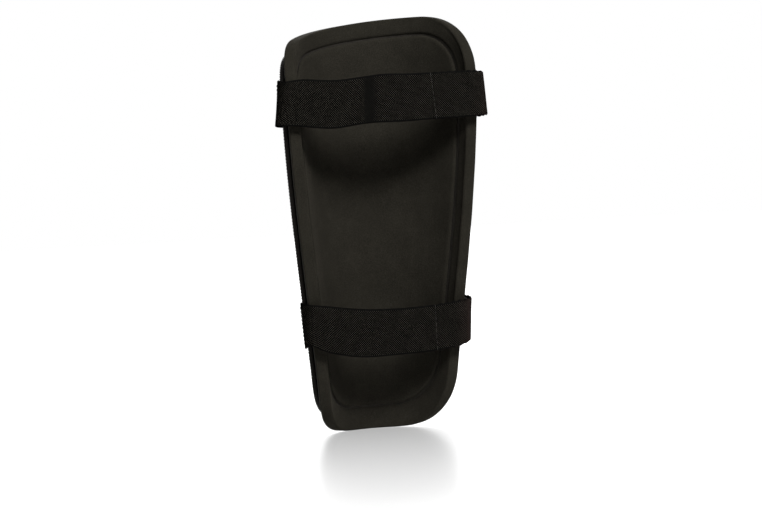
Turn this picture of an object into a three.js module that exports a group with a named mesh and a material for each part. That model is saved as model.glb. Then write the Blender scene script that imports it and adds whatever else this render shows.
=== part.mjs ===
// Shin guard for ball sports: a hard outer shell on a foam backing, with a lined
// and padded leg side, held on by two elastic straps that wrap round both edges
// and fasten with hook and loop on the outside of the shell.
//
// Millimetres, +Z up. The guard stands on its ankle edge. The leg side faces -Y
// and the shell faces +Y. The origin is the middle of the flat of the ankle edge.

import * as THREE from 'three';

// ---------------------------------------------------------------------------
// Driving dimensions
// ---------------------------------------------------------------------------

const gap = 0.3;                  // between pieces that touch on the real guard

// The leg-side surface is an arc in plan. Its radius grows from ankle to knee
// along a cubic curve, and its crest line is straight.
const guardHeight = 267.4;        // ankle edge to knee edge, along the crest
const ankleRadius = 38.4;
const ankleFlare = 45.8;          // lower control radius of the curve
const kneeFlare = 63.1;           // upper control radius of the curve
const kneeRadius = 57.7;
const wrap = THREE.MathUtils.degToRad(79.8);  // half the angle the guard wraps

// Outline of the backing, unrolled.
const kneeSlant = 0.132;          // rise of the knee edge per mm towards +X
const kneeCrown = 294;            // radius of the arched knee edge
const ankleFlat = 24;             // straight stretch in the middle of the ankle edge
const ankleCrown = 111;           // radius of the ankle edge on both sides of it
const kneeCornerLeft = 31;
const kneeCornerRight = 36;
const ankleCornerLeft = 33;
const ankleCornerRight = 29;

// Layers, by thickness, from the leg outwards.
const coverThickness = 0.6;       // knitted cover of the centre pad
const padThickness = 2.4;         // raised centre pad
const liningThickness = 0.7;      // knitted lining of the backing
const backingThickness = 6.6;     // foam backing
const shellThickness = 2.8;       // moulded shell
const loopThickness = 1.3;        // loop patch stuck on the shell
const hookThickness = 1.1;        // hook patch sewn to the strap
const elasticThickness = 1.6;     // woven elastic
const threadThickness = 0.5;      // sewing thread, proud of the elastic

// How far each piece's edge stays inside the backing's edge.
const liningInset = 0.6;
const padSideInset = 10.4;
const padKneeInset = 12.3;
const padAnkleInset = 15.7;
const padCorner = 28;
const coverInset = 0.4;           // cover's edge inside the pad's edge
const shellSideInset = 4;
const shellEndInset = 9;

// Moulded relief on the outside of the shell.
const shinRidgeHeight = 3.2;      // raised ridge over the shin bone
const shinRidgeWidth = THREE.MathUtils.degToRad(34);   // as angles round the leg,
const sideRibWidth = THREE.MathUtils.degToRad(9);      // so that they taper with it
const ribClearance = THREE.MathUtils.degToRad(4);      // rib to the nearest loop patch
const sideRibHeight = 1.2;        // stiffening rib on each side of the ridge
const reliefFade = 34;            // length over which relief dies out at each end

// Straps.
const strapWidth = 30;
const strapBulge = 5;             // how far a strap bows away from the leg
const anchorLength = 36;          // sewn end on the -X side
const loopWidth = 32;
const hookWidth = 26;
const hookEndMargin = 2;          // hook patch inside the free end of the strap
const wallClearance = 0.6;        // strap plane to the front of the side walls
const foldClearance = 0.4;        // strap ends to their fold lines
const seamMargin = 3.5;           // box seam inside the edges of the sewn end
const seamWidth = 1.1;

// A strap's height on the guard, its tilt towards +X and the sag of its middle. The
// hook patch runs from hookFront before the fold to the end of the tab behind it.
const upperStrap = {
  name: 'upper', height: 216, tilt: 0.019, sag: 0.5, hookFront: 40, tabLength: 42, loopLength: 48,
};
const lowerStrap = {
  name: 'lower', height: 71.5, tilt: -0.018, sag: 5.5, hookFront: 28, tabLength: 35, loopLength: 38,
};

// ---------------------------------------------------------------------------
// Facets
// ---------------------------------------------------------------------------

const shellColumns = 56;          // the shell is the finest, for its ridge and ribs
const backingColumns = 36;
const padColumns = 24;
const shellRows = 16;
const backingRows = 16;
const liningRows = 14;
const padRows = 12;
const patchPitch = 4;             // length of a facet along a patch
const patchRows = 4;
const bandColumns = 24;
const hookColumns = 8;
const seamFacets = 8;             // on each side of a box seam

// ---------------------------------------------------------------------------
// Positions that follow from the dimensions
// ---------------------------------------------------------------------------

// Depth of each layer's two faces, outwards from the leg side of the lining.
const lining = { inner: 0, outer: liningThickness };
const backing = stackOn(lining, backingThickness);
const shell = stackOn(backing, shellThickness);
const anchor = stackOn(shell, elasticThickness);
const loop = stackOn(shell, loopThickness);
const hook = stackOn(loop, hookThickness);
const tab = stackOn(hook, elasticThickness);
const pad = { inner: -gap - padThickness, outer: -gap };
const cover = { inner: pad.inner - gap - coverThickness, outer: pad.inner - gap };
const crestY = -(backing.inner + backing.outer) / 2;

function stackOn(layer, thickness) {
  return { inner: layer.outer + gap, outer: layer.outer + gap + thickness };
}

// Radius of the leg-side surface at a height.
function radiusAt(z) {
  const t = z / guardHeight;
  const u = 1 - t;
  return ankleRadius * u ** 3 + 3 * ankleFlare * t * u ** 2 + 3 * kneeFlare * t ** 2 * u
    + kneeRadius * t ** 3;
}

// A point on the wall: angle from the crest, height, and depth outwards.
function wallPoint(angle, z, depth) {
  const radius = radiusAt(z);
  return new THREE.Vector3(
    (radius + depth) * Math.sin(angle),
    crestY - radius + (radius + depth) * Math.cos(angle),
    z,
  );
}

// The two ends of a width round a middle.
function ends(middle, width) {
  return [middle - width / 2, middle + width / 2];
}

// How far a round corner has dropped at a distance from the side edge.
function cornerDrop(distance, radius) {
  if (distance >= radius) return 0;
  return radius - Math.sqrt(radius ** 2 - (radius - distance) ** 2);
}

// The knee edge's height at a share of the half width, from -1 to 1.
function kneeEdge(across, outline) {
  const radius = radiusAt(guardHeight);
  const half = wrap * radius - outline.side;
  const arc = across * half;
  const corner = across < 0 ? outline.kneeLeft : outline.kneeRight;
  const arch = arc ** 2 / (2 * kneeCrown);
  return guardHeight + kneeSlant * arc - arch - outline.knee - cornerDrop(half - Math.abs(arc), corner);
}

// The ankle edge's height at a share of the half width, from -1 to 1.
function ankleEdge(across, outline) {
  const radius = radiusAt(0);
  const half = wrap * radius - outline.side;
  const arc = Math.abs(across * half);
  const corner = across < 0 ? outline.ankleLeft : outline.ankleRight;
  const arch = Math.max(0, arc - ankleFlat / 2) ** 2 / (2 * ankleCrown);
  return arch + outline.ankle + cornerDrop(half - arc, corner);
}

// An outline inside the backing's, with corners that stay concentric with it.
function insetOutline(side, knee, ankle) {
  return {
    side,
    knee,
    ankle,
    kneeLeft: kneeCornerLeft - side,
    kneeRight: kneeCornerRight - side,
    ankleLeft: ankleCornerLeft - side,
    ankleRight: ankleCornerRight - side,
  };
}

function padOutline(inset) {
  const corner = padCorner - inset;
  return {
    side: padSideInset + inset,
    knee: padKneeInset + inset,
    ankle: padAnkleInset + inset,
    kneeLeft: corner,
    kneeRight: corner,
    ankleLeft: corner,
    ankleRight: corner,
  };
}

// ---------------------------------------------------------------------------
// Solids
// ---------------------------------------------------------------------------

function solidFrom(points, faces) {
  const geometry = new THREE.BufferGeometry();
  const coordinates = points.flatMap((p) => p.toArray());
  geometry.setAttribute('position', new THREE.Float32BufferAttribute(coordinates, 3));
  const volume = faces.reduce((sum, [a, b, c]) => {
    const normal = new THREE.Vector3().crossVectors(points[b], points[c]);
    return sum + points[a].dot(normal);
  }, 0);
  const outward = volume > 0 ? faces : faces.map(([a, b, c]) => [a, c, b]);
  geometry.setIndex(outward.flat());
  geometry.computeVertexNormals();
  return geometry;
}

function quad(a, b, c, d) {
  return [[a, b, c], [a, c, d]];
}

// A closed sheet: place(u, v, side) gives its two faces, u and v from 0 to 1.
function sheetSolid(columns, rows, place) {
  const points = [];
  const faces = [];
  const index = (i, j, side) => (side * rows.length + j) * columns.length + i;
  for (const side of [0, 1]) {
    for (const v of rows) {
      for (const u of columns) points.push(place(u, v, side));
    }
  }
  const lastColumn = columns.length - 1;
  const lastRow = rows.length - 1;
  for (let j = 0; j < lastRow; j += 1) {
    for (let i = 0; i < lastColumn; i += 1) {
      const lower = (side) => [index(i, j, side), index(i + 1, j, side)];
      const upper = (side) => [index(i + 1, j + 1, side), index(i, j + 1, side)];
      faces.push(...quad(...lower(0), ...upper(0)));
      faces.push(...quad(...[...lower(1), ...upper(1)].reverse()));
    }
  }
  // The rim: a loop round the outline, joined from one face to the other.
  const rim = [];
  for (let i = 0; i < lastColumn; i += 1) rim.push([i, 0]);
  for (let j = 0; j < lastRow; j += 1) rim.push([lastColumn, j]);
  for (let i = lastColumn; i > 0; i -= 1) rim.push([i, lastRow]);
  for (let j = lastRow; j > 0; j -= 1) rim.push([0, j]);
  rim.forEach(([i, j], k) => {
    const [nextI, nextJ] = rim[(k + 1) % rim.length];
    faces.push(...quad(index(nextI, nextJ, 0), index(i, j, 0), index(i, j, 1), index(nextI, nextJ, 1)));
  });
  return solidFrom(points, faces);
}

// Even steps from 0 to 1.
function steps(count) {
  return Array.from({ length: count + 1 }, (_, i) => i / count);
}

// Steps from -1 to 1 that close up towards the ends, where the corners are round,
// with a pair at the ends of the ankle edge's flat.
function cornerSteps(count, outline) {
  const crowded = steps(count).map((t) => Math.sin(Math.PI * (t - 0.5)));
  const flatEnd = ankleFlat / 2 / (wrap * radiusAt(0) - outline.side);
  const misses = crowded.map((x) => Math.abs(Math.abs(x) - flatEnd));
  const nearest = Math.min(...misses);
  return crowded.map((x, i) => (misses[i] < nearest + 1e-6 ? Math.sign(x) * flatEnd : x));
}

// One layer of the guard: everything inside an outline, between two depths.
function layerSolid(outline, layer, columnCount, rowCount, relief = () => 0) {
  return sheetSolid(cornerSteps(columnCount, outline), steps(rowCount), (across, v, side) => {
    const z = THREE.MathUtils.lerp(ankleEdge(across, outline), kneeEdge(across, outline), v);
    const angle = across * (wrap - outline.side / radiusAt(z));
    const depth = side === 0 ? layer.inner : layer.outer + relief(angle, z);
    return wallPoint(angle, z, depth);
  });
}

// A patch of webbing or tape on the wall. Its front end starts at an angle that
// may change with height, and it runs back from there by a length.
function patchSolid(side, strap, frontAngle, layer, length, width) {
  return sheetSolid(steps(Math.ceil(length / patchPitch)), steps(patchRows), (u, v, face) => {
    const z = strapHeight(strap, side) + (v - 0.5) * width;
    const radius = radiusAt(z) + layer.inner;
    const angle = frontAngle(z, layer.inner) - u * length / radius;
    return wallPoint(side * angle, z, face === 0 ? layer.inner : layer.outer);
  });
}

// A closed ring of thread: place(u, v, side) is the sewn face, u along it and v up.
function boxSeamSolid(length, width, place) {
  const corners = [[0, 0], [1, 0], [1, 1], [0, 1]];
  const points = [];
  const faces = [];
  corners.forEach(([u0, v0], k) => {
    const [u1, v1] = corners[(k + 1) % corners.length];
    for (let i = 0; i < seamFacets; i += 1) {
      const t = i / seamFacets;
      const u = THREE.MathUtils.lerp(u0, u1, t);
      const v = THREE.MathUtils.lerp(v0, v1, t);
      const inU = 0.5 + (u - 0.5) * (1 - 2 * seamWidth / length);
      const inV = 0.5 + (v - 0.5) * (1 - 2 * seamWidth / width);
      points.push(place(u, v, 0), place(inU, inV, 0), place(inU, inV, 1), place(u, v, 1));
    }
  });
  const count = points.length;
  for (let start = 0; start < count; start += 4) {
    for (let k = 0; k < 4; k += 1) {
      const next = (k + 1) % 4;
      faces.push(...quad(start + k, start + next, (start + 4 + next) % count, (start + 4 + k) % count));
    }
  }
  return solidFrom(points, faces);
}

// ---------------------------------------------------------------------------
// Strap geometry
// ---------------------------------------------------------------------------

// Height of a strap's middle at the guard's -X side, middle or +X side.
function strapHeight(strap, side) {
  return strap.height + side * strap.tilt * radiusAt(strap.height);
}

// Front of the side walls at a height.
function wallFront(z) {
  return crestY - radiusAt(z) * (1 - Math.cos(wrap));
}

// The straps' leg-side faces lie in one plane, in front of the walls, that leans with
// their taper. A laid down guard rests on both straps.
const straps = [upperStrap, lowerStrap];
const strapSpacing = upperStrap.height - lowerStrap.height;
const strapLean = (wallFront(lowerStrap.height) - wallFront(upperStrap.height)) / strapSpacing;
const strapEnds = straps.flatMap((strap) => ends(strap.height, strapWidth));
const furthestFront = Math.min(...strapEnds.map((z) => wallFront(z) + strapLean * z));
const strapFoot = furthestFront - wallClearance - hookThickness - gap;

function strapPlane(z) {
  return strapFoot - strapLean * z;
}

// Angle at which a depth on the wall comes level with the straps' folds.
function foldAngle(z, depth) {
  const foldY = strapPlane(z) + foldClearance * 2;
  const radius = radiusAt(z);
  return Math.acos((foldY - crestY + radius) / (radius + depth));
}

// Where a strap folds round a wall: its moving part turns on the line through here that
// leans with the strap plane.
function foldPoint(strap, side, layer) {
  const angle = foldAngle(strap.height, layer.inner);
  const point = wallPoint(angle, strap.height, layer.inner);
  return new THREE.Vector3(
    side * (point.x - foldClearance),
    strapPlane(strap.height) + foldClearance,
    strap.height,
  );
}

// The two ends of a strap's stretch across the leg.
function spanEnds(strap) {
  const left = foldPoint(strap, -1, anchor).x + foldClearance;
  const right = foldPoint(strap, 1, tab).x - foldClearance;
  return { left, right };
}

// The stretch of strap between the folds, from one share of its span to another. It is
// flat in the middle and bends back towards the folds, and it sags as a parabola.
function spanSolid(strap, fromX, toX, inner, outer, width, count) {
  const { left, right } = spanEnds(strap);
  return sheetSolid(steps(count), steps(patchRows), (u, v, side) => {
    const x = THREE.MathUtils.lerp(fromX, toX, u);
    const fromMiddle = 2 * (x - left) / (right - left) - 1;
    const bow = strapBulge * (1 - fromMiddle ** 4);
    const drop = strap.sag * (1 - fromMiddle ** 2);
    const z = strap.height + strap.tilt * x - drop + (v - 0.5) * width;
    return new THREE.Vector3(x, strapPlane(z) - bow - (side === 0 ? inner : outer), z);
  });
}

// ---------------------------------------------------------------------------
// Materials
// ---------------------------------------------------------------------------

function material(color, roughness, metalness = 0) {
  return new THREE.MeshStandardMaterial({ color, roughness, metalness });
}

const finish = {
  shell: () => material(0x141414, 0.38),
  foam: () => material(0x26241f, 0.9),
  knit: () => material(0x2b2822, 0.95),
  elastic: () => material(0x12110d, 0.85),
  hook: () => material(0x0e0e0e, 0.7),
  loop: () => material(0x161616, 0.98),
  thread: () => material(0x1c1b18, 0.6),
};

// ---------------------------------------------------------------------------
// The guard
// ---------------------------------------------------------------------------

const guard = new THREE.Group();

function add(name, geometry, surface) {
  const mesh = new THREE.Mesh(geometry, surface);
  mesh.name = name;
  guard.add(mesh);
}

// A smooth bump, 1 in the middle and 0 at half its width.
function bump(distance, width) {
  const share = Math.min(1, Math.abs(distance) / (width / 2));
  return 0.5 + 0.5 * Math.cos(Math.PI * share);
}

// The loop patches start at the shell's edge, so that they have the shell behind them.
function shellEdgeAngle(z) {
  return wrap - (shellSideInset + gap) / radiusAt(z);
}

// The ribs run beside the loop patches, clear of the one that reaches furthest.
const loopEndAngles = straps.flatMap((strap) => {
  const endAngle = (z) => shellEdgeAngle(z) - strap.loopLength / (radiusAt(z) + loop.inner);
  return ends(strapHeight(strap, 1), loopWidth).map(endAngle);
});
const sideRibAngle = Math.min(...loopEndAngles) - ribClearance - sideRibWidth / 2;

function shellRelief(angle, z) {
  const fromEnd = Math.min(z - shellEndInset, guardHeight - shellEndInset - z);
  const fade = THREE.MathUtils.smoothstep(fromEnd, 0, reliefFade);
  const ribs = bump(Math.abs(angle) - sideRibAngle, sideRibWidth) * sideRibHeight;
  return fade * (bump(angle, shinRidgeWidth) * shinRidgeHeight + ribs);
}

function addGuardBody() {
  const shellOutline = insetOutline(shellSideInset, shellEndInset, shellEndInset);
  const backingOutline = insetOutline(0, 0, 0);
  const liningOutline = insetOutline(liningInset, liningInset, liningInset);
  const coverOutline = padOutline(coverInset);
  add('hard_shell', layerSolid(shellOutline, shell, shellColumns, shellRows, shellRelief), finish.shell());
  add('foam_backing', layerSolid(backingOutline, backing, backingColumns, backingRows), finish.foam());
  add('backing_lining', layerSolid(liningOutline, lining, backingColumns, liningRows), finish.knit());
  add('shin_pad', layerSolid(padOutline(0), pad, padColumns, padRows), finish.foam());
  add('pad_cover', layerSolid(coverOutline, cover, padColumns, padRows), finish.knit());
}

// The sewn end on the -X side, with its box seam, and the loop patch opposite.
function addStrapMountings(strap) {
  const sewnEnd = patchSolid(-1, strap, foldAngle, anchor, anchorLength, strapWidth);
  const loopPatch = patchSolid(1, strap, shellEdgeAngle, loop, strap.loopLength, loopWidth);
  add(`${strap.name}_strap_anchor`, sewnEnd, finish.elastic());
  add(`${strap.name}_loop_patch`, loopPatch, finish.loop());
  add(`${strap.name}_anchor_seam`, patchSeam(strap, -1, anchor, anchorLength), finish.thread());
}

// A box seam on the outside of a sewn end, towards its far end.
function patchSeam(strap, side, layer, length) {
  const seamLength = length / 2;
  const seamHeight = strapWidth - 2 * seamMargin;
  const outside = { inner: layer.outer + gap, outer: layer.outer + gap + threadThickness };
  return boxSeamSolid(seamLength, seamHeight, (u, v, face) => {
    const z = strapHeight(strap, side) + (v - 0.5) * seamHeight;
    const back = length - seamMargin - u * seamLength;
    const angle = foldAngle(z, layer.inner) - back / (radiusAt(z) + layer.inner);
    return wallPoint(side * angle, z, face === 0 ? outside.inner : outside.outer);
  });
}

// Where the hook patch bends back along the wall: inside its narrowest end.
function hookBend(strap) {
  const bends = ends(strapHeight(strap, 1), hookWidth).map((z) => {
    return wallPoint(foldAngle(z, hook.inner), z, hook.inner).x;
  });
  return Math.min(...bends) - gap - foldClearance;
}

// The stretch across the leg, with the front of the hook patch sewn behind it.
function addStrapSpan(strap) {
  const { left, right } = spanEnds(strap);
  const hookRight = hookBend(strap);
  const hookLeft = hookRight - strap.hookFront;
  const behind = -gap - hookThickness;
  const inFront = elasticThickness + gap;
  const seamLeft = hookLeft + seamWidth;
  const seamRight = seamLeft + seamWidth;
  const band = spanSolid(strap, left, right, 0, elasticThickness, strapWidth, bandColumns);
  const hookFront = spanSolid(strap, hookLeft, hookRight, behind, -gap, hookWidth, hookColumns);
  const seam = spanSolid(strap, seamLeft, seamRight, inFront, inFront + threadThickness, hookWidth, 1);
  add(`${strap.name}_strap_band`, band, finish.elastic());
  add(`${strap.name}_hook_front`, hookFront, finish.hook());
  add(`${strap.name}_band_seam`, seam, finish.thread());
}

// The free end that presses onto the loop patch.
function addStrapTab(strap) {
  const hookLength = strap.tabLength - hookEndMargin;
  const freeEnd = patchSolid(1, strap, foldAngle, tab, strap.tabLength, strapWidth);
  const hookPatch = patchSolid(1, strap, foldAngle, hook, hookLength, hookWidth);
  add(`${strap.name}_strap_tab`, freeEnd, finish.elastic());
  add(`${strap.name}_hook_patch`, hookPatch, finish.hook());
  add(`${strap.name}_tab_seam`, patchSeam(strap, 1, tab, strap.tabLength), finish.thread());
}

addGuardBody();
for (const strap of straps) {
  addStrapMountings(strap);
  addStrapSpan(strap);
  addStrapTab(strap);
}

export default guard;
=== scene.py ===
"""Looks of the shin guard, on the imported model's frame.

Shapes are worked out in millimetres and become metres where a mesh is made. The
guard stands on its ankle edge: +Z up, leg side towards -Y, shell towards +Y.
"""
import math
from collections import namedtuple

import bpy
import numpy as np
from mathutils import Matrix, Vector, noise


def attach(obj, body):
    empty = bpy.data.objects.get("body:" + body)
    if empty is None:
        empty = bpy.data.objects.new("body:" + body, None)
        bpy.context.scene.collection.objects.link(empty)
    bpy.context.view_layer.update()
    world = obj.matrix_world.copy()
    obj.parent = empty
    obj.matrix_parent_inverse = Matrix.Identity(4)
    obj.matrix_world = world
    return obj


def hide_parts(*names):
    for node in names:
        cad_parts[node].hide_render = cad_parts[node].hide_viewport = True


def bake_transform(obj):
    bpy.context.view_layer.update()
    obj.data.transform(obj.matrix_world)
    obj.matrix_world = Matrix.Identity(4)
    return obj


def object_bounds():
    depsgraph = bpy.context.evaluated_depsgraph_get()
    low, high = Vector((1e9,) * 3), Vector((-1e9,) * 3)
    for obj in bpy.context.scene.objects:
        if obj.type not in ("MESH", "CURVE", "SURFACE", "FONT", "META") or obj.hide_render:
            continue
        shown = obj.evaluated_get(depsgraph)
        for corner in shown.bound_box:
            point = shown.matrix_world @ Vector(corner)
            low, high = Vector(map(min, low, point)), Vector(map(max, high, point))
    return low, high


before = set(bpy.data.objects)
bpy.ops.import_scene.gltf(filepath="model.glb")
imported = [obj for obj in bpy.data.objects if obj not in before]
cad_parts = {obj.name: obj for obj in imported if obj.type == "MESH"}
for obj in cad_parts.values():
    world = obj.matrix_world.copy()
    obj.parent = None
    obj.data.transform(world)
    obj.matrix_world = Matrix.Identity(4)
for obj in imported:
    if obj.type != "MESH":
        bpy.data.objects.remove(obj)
cad_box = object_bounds()

MM = 0.001

# ---------------------------------------------------------------------------
# Camera
# ---------------------------------------------------------------------------

CAMERA_PLACE = (-570.0, -1524.3, 162.3)   # mm
CAMERA_TARGET = (2.3, -28.0, 115.6)
CAMERA_ROLL = math.radians(-2.705)
CAMERA_LENS = 116.3


def add_object(name, data):
    obj = bpy.data.objects.new(name, data)
    bpy.context.scene.collection.objects.link(obj)
    return obj


def add_camera():
    camera = add_object("camera", bpy.data.cameras.new("camera"))
    place = Vector(CAMERA_PLACE) * MM
    facing = Vector(CAMERA_TARGET) * MM - place
    camera.location = place
    aim = facing.to_track_quat("-Z", "Y").to_matrix()
    camera.rotation_euler = (aim @ Matrix.Rotation(CAMERA_ROLL, 3, "Z")).to_euler()
    camera.data.lens = CAMERA_LENS
    camera.data.sensor_width = 36.0
    camera.data.clip_start = 0.05
    camera.data.clip_end = 50.0
    bpy.context.scene.camera = camera


add_camera()

# ---------------------------------------------------------------------------
# Driving dimensions, as in the part's source
# ---------------------------------------------------------------------------

GAP = 0.3                                 # between layers that lie on each other
GUARD_HEIGHT = 267.4
RADII = (38.4, 45.8, 63.1, 57.7)          # ankle, two control radii, knee
WRAP = math.radians(79.8)
KNEE_SLANT = 0.132
KNEE_CROWN = 294.0
ANKLE_FLAT = 24.0
ANKLE_CROWN = 111.0
CORNERS = (31.0, 36.0, 33.0, 29.0)        # knee left and right, ankle left and right

LINING = (0.0, 0.7)                       # depths of each layer's two faces
BACKING = (1.0, 7.6)
SHELL = (7.9, 10.7)
ANCHOR = (11.0, 12.6)
LOOP = (11.0, 12.3)
TAB = (14.0, 15.6)
COVER_FACE = -3.6
CREST_Y = -(BACKING[0] + BACKING[1]) / 2

PAD_SIDE = 10.4
PAD_KNEE = 12.3
PAD_ANKLE = 15.7
PAD_CORNER = 28.0
SHELL_SIDE = 4.0
SHELL_END = 9.0
RIDGE_HEIGHT = 3.2
RIDGE_WIDTH = math.radians(34)
RIB_WIDTH = math.radians(9)
RIB_CLEARANCE = math.radians(4)
RIB_HEIGHT = 1.2
RELIEF_FADE = 34.0

STRAP_WIDTH = 30.0
STRAP_BULGE = 5.0
ELASTIC = 1.6
HOOK_TAPE = 1.1
HOOK_WIDTH = 26.0
LOOP_WIDTH = 32.0
ANCHOR_LENGTH = 36.0
WALL_CLEARANCE = 0.6
FOLD_CLEARANCE = 0.4
SEAM_MARGIN = 3.5
SELVEDGE = 1.2            # plain edge of the webbing

Strap = namedtuple("Strap", "name height tilt sag seam_x tab_length loop_length")
UPPER = Strap("upper", 216.0, 0.019, 0.5, 30.6, 42.0, 48.0)
LOWER = Strap("lower", 71.5, -0.018, 5.5, 29.6, 35.0, 38.0)
STRAPS = (UPPER, LOWER)
LEFT, RIGHT = -1, 1       # sides of the guard: sewn end and free end of each strap

# ---------------------------------------------------------------------------
# The wall and its outlines
# ---------------------------------------------------------------------------


def radius_at(z):
    """Radius of the leg-side surface at a height."""
    t = z / GUARD_HEIGHT
    u = 1 - t
    a, b, c, d = RADII
    return a * u ** 3 + 3 * b * t * u ** 2 + 3 * c * t ** 2 * u + d * t ** 3


def wall(angle, z, depth):
    """Points on the wall, from the angle off the crest, the height and the depth."""
    angle, z, depth = np.broadcast_arrays(angle, z, depth)
    reach = radius_at(z) + depth
    y = CREST_Y - radius_at(z) + reach * np.cos(angle)
    return np.stack([reach * np.sin(angle), y, z], axis=-1)


def smooth(value, low, high):
    """0 below low, 1 above high, and smooth between them."""
    t = np.clip((value - low) / (high - low), 0, 1)
    return t * t * (3 - 2 * t)


Outline = namedtuple("Outline", "side knee ankle corners")


def inset(amount, knee=None):
    """The backing's outline moved inwards, by knee at the knee and ankle, with corners that
    stay concentric."""
    knee = amount if knee is None else knee
    return Outline(amount, knee, knee, tuple(c - amount for c in CORNERS))


def pad_outline(amount):
    """The pad's outline moved inwards."""
    corner = max(4.0, PAD_CORNER - amount)
    return Outline(PAD_SIDE + amount, PAD_KNEE + amount, PAD_ANKLE + amount, (corner,) * 4)


def corner_drop(distance, radius):
    """How far a rounded corner falls short of square, at a distance from the side."""
    reach = np.clip(radius - distance, 0, radius)
    return radius - np.sqrt(radius ** 2 - reach ** 2)


def edge_height(across, outline, knee):
    """Height of the knee or ankle edge at a share of the half width, -1 to 1."""
    left, right = outline.corners[:2] if knee else outline.corners[2:]
    half = WRAP * radius_at(GUARD_HEIGHT if knee else 0.0) - outline.side
    arc = across * half
    corner = np.where(across < 0, left, right)
    drop = corner_drop(half - np.abs(arc), corner)
    if knee:
        top = GUARD_HEIGHT - outline.knee
        return top + KNEE_SLANT * arc - arc ** 2 / (2 * KNEE_CROWN) - drop
    past_flat = np.maximum(0, np.abs(arc) - ANKLE_FLAT / 2)
    return outline.ankle + past_flat ** 2 / (2 * ANKLE_CROWN) + drop


ACROSS_COUNT = 68         # points along the knee edge, between the corners' middles
UP_COUNT = 116            # and along each side
LOOP_COUNT = 2 * (ACROSS_COUNT + UP_COUNT)


def flat_loop(outline):
    """The outline as points on the unrolled wall (arc, height), round from the middle of
    the lower left corner, evenly spaced between the corners' middles."""
    def turn(knee, index):
        half = WRAP * radius_at(GUARD_HEIGHT if knee else 0.0) - outline.side
        return 1 - (1 - math.sqrt(0.5)) * outline.corners[index] / half

    def edge(start, end, knee):
        bends = np.sin(np.linspace(math.asin(start), math.asin(end), 400))
        return np.stack([bends, edge_height(bends, outline, knee)], axis=-1)

    sides = []
    for across in (-1.0, 1.0):
        ends = [float(edge_height(np.array(across), outline, knee)) for knee in (False, True)]
        heights = np.linspace(*ends, 400)
        sides.append(np.stack([np.full(400, across), heights], axis=-1))
    knee_left, knee_right = turn(True, 0), turn(True, 1)
    ankle_left, ankle_right = turn(False, 2), turn(False, 3)
    stretches = (
        (edge(-ankle_left, ankle_right, False), ACROSS_COUNT),
        (np.concatenate([edge(ankle_right, 1, False), sides[1],
                         edge(1, knee_right, True)]), UP_COUNT),
        (edge(knee_right, -knee_left, True), ACROSS_COUNT),
        (np.concatenate([edge(-knee_left, -1, True), sides[0][::-1],
                         edge(-1, -ankle_left, False)]), UP_COUNT),
    )
    points = []
    for stretch, count in stretches:
        across, height = stretch.T
        arc = across * (WRAP * radius_at(height) - outline.side)
        line = np.stack([arc, height], axis=-1)
        reach = np.concatenate([[0], np.cumsum(np.linalg.norm(np.diff(line, axis=0), axis=1))])
        steps = np.linspace(0, reach[-1], count + 1)[:-1]
        points.append(np.stack([np.interp(steps, reach, line[:, k]) for k in (0, 1)], axis=-1))
    return np.concatenate(points)


def outward(loop):
    """Unit normals of a flat loop, pointing away from its middle."""
    along = np.roll(loop, -1, axis=0) - np.roll(loop, 1, axis=0)
    normal = np.stack([along[:, 1], -along[:, 0]], axis=-1)
    return normal / np.linalg.norm(normal, axis=1)[:, None]


def on_wall(flat, depth):
    """Points of the unrolled wall, put on the wall at a depth."""
    return wall(flat[..., 0] / radius_at(flat[..., 1]), flat[..., 1], depth)


def filled(loop):
    """A grid inside a flat loop, by blending its four sides."""
    bottom = loop[:ACROSS_COUNT + 1]
    right = loop[ACROSS_COUNT:ACROSS_COUNT + UP_COUNT + 1]
    top = loop[ACROSS_COUNT + UP_COUNT:2 * ACROSS_COUNT + UP_COUNT + 1][::-1]
    left = np.concatenate([loop[2 * ACROSS_COUNT + UP_COUNT:], loop[:1]])[::-1]
    u = np.linspace(0, 1, ACROSS_COUNT + 1)[None, :, None]
    v = np.linspace(0, 1, UP_COUNT + 1)[:, None, None]
    sides = (1 - v) * bottom[None] + v * top[None] + (1 - u) * left[:, None] + u * right[:, None]
    corners = (1 - u) * (1 - v) * bottom[0] + u * (1 - v) * bottom[-1]
    corners = corners + (1 - u) * v * top[0] + u * v * top[-1]
    return sides - corners


def unevenness(points, size, amount, seed):
    """Low smooth swells of a soft surface, for points in millimetres."""
    offset = Vector((seed * 7.3, seed * 3.1, seed * 5.7))
    flat = points.reshape(-1, 3)
    swell = [noise.noise(Vector(p) / size + offset) for p in flat]
    return amount * np.array(swell).reshape(points.shape[:-1])


# ---------------------------------------------------------------------------
# Meshes
# ---------------------------------------------------------------------------


def mesh_object(name, points, faces, flat=None):
    """A smooth shaded object from points in millimetres. flat is the place of each point on
    the flat cut, and becomes the UV map in metres."""
    mesh = bpy.data.meshes.new(name)
    mesh.from_pydata((np.asarray(points) * MM).tolist(), [], faces)
    if flat is not None:
        corners = np.empty(len(mesh.loops), dtype=int)
        mesh.loops.foreach_get("vertex_index", corners)
        layer = mesh.uv_layers.new(name="cut")
        layer.data.foreach_set("uv", (np.asarray(flat)[corners] * MM).ravel())
    mesh.shade_smooth()
    return add_object(name, mesh)


def places_of(piece):
    """Places of a piece's points in millimetres."""
    return np.array([v.co for v in piece.data.vertices]) / MM


def mark_points(piece, name, amounts):
    """An amount for each point of a piece, read by its material."""
    layer = piece.data.attributes.new(name, "FLOAT", "POINT")
    layer.data.foreach_set("value", amounts.astype(np.float32))


def outward_faces(points, faces):
    """The faces of a closed form, turned round if they point inwards."""
    quads = np.array(faces)
    p = np.asarray(points)[quads]
    volume = np.einsum("ij,ij->i", p[:, 0], np.cross(p[:, 1], p[:, 2])).sum()
    volume += np.einsum("ij,ij->i", p[:, 0], np.cross(p[:, 2], p[:, 3])).sum()
    return quads.tolist() if volume > 0 else quads[:, ::-1].tolist()


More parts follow.
